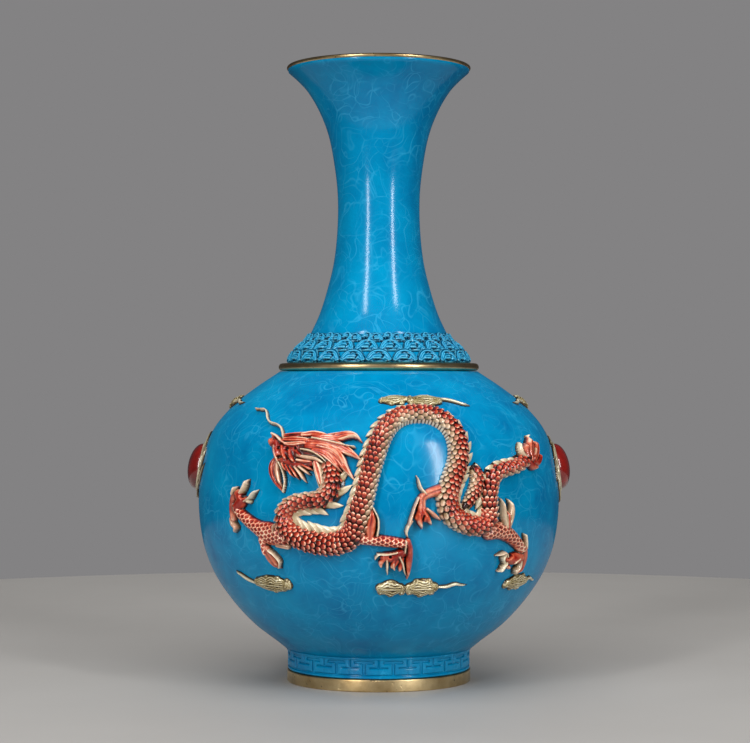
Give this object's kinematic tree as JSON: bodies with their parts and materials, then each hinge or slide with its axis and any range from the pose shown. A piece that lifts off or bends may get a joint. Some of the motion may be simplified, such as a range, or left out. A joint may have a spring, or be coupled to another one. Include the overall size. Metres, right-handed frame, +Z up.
{
  "type": "display vase",
  "caption": "Tall metal display vase: round body, trumpet neck with a rolled lip, low ring foot, and cast dragons, clouds and flaming pearls in relief.",
  "frame": {"origin": "centre of the foot ring's flat underside, on the surface the vase stands on", "axes": "+Z up along the vase's axis; -Y is the front, where one dragon coils with its head towards -X; the back dragon is the front one turned 180 degrees about Z"},
  "size_m": [0.225, 0.2246, 0.36],
  "materials": {
    "blue_patina": "turquoise patina with pale hairline veins under clear gloss wax on copper",
    "polished_brass": "polished, lightly toned",
    "dragon_red": "red lacquer rubbed back to pale brass on the raised edges",
    "cloud_gold": "cast, gold toned, dark in the recesses",
    "pearl_red": "deep red gloss lacquer"
  },
  "bodies": {
    "root": {"body_shell": "blue_patina", "neck_sleeve": "blue_patina", "neck_shell": "blue_patina", "mouth_shell": "blue_patina", "cloud_collar": "blue_patina", "foot_band": "blue_patina", "base_plate": "blue_patina", "lip_ring": "polished_brass", "collar_ring": "polished_brass", "foot_ring": "polished_brass", "front_dragon_body": "dragon_red", "front_dragon_coil": "dragon_red", "front_dragon_head": "dragon_red", "front_dragon_left_foreleg": "dragon_red", "front_dragon_right_foreleg": "dragon_red", "front_dragon_left_hindleg": "dragon_red", "front_dragon_right_hindleg": "dragon_red", "front_dragon_tail_tuft": "dragon_red", "front_top_cloud": "cloud_gold", "front_centre_cloud": "cloud_gold", "front_left_cloud": "cloud_gold", "front_right_cloud": "cloud_gold", "back_dragon_body": "dragon_red", "back_dragon_coil": "dragon_red", "back_dragon_head": "dragon_red", "back_dragon_left_foreleg": "dragon_red", "back_dragon_right_foreleg": "dragon_red", "back_dragon_left_hindleg": "dragon_red", "back_dragon_right_hindleg": "dragon_red", "back_dragon_tail_tuft": "dragon_red", "back_top_cloud": "cloud_gold", "back_centre_cloud": "cloud_gold", "back_left_cloud": "cloud_gold", "back_right_cloud": "cloud_gold", "left_pearl": "pearl_red", "left_flame_mount": "cloud_gold", "left_shoulder_cloud": "cloud_gold", "right_pearl": "pearl_red", "right_flame_mount": "cloud_gold", "right_shoulder_cloud": "cloud_gold"}
  },
  "joints": []
}
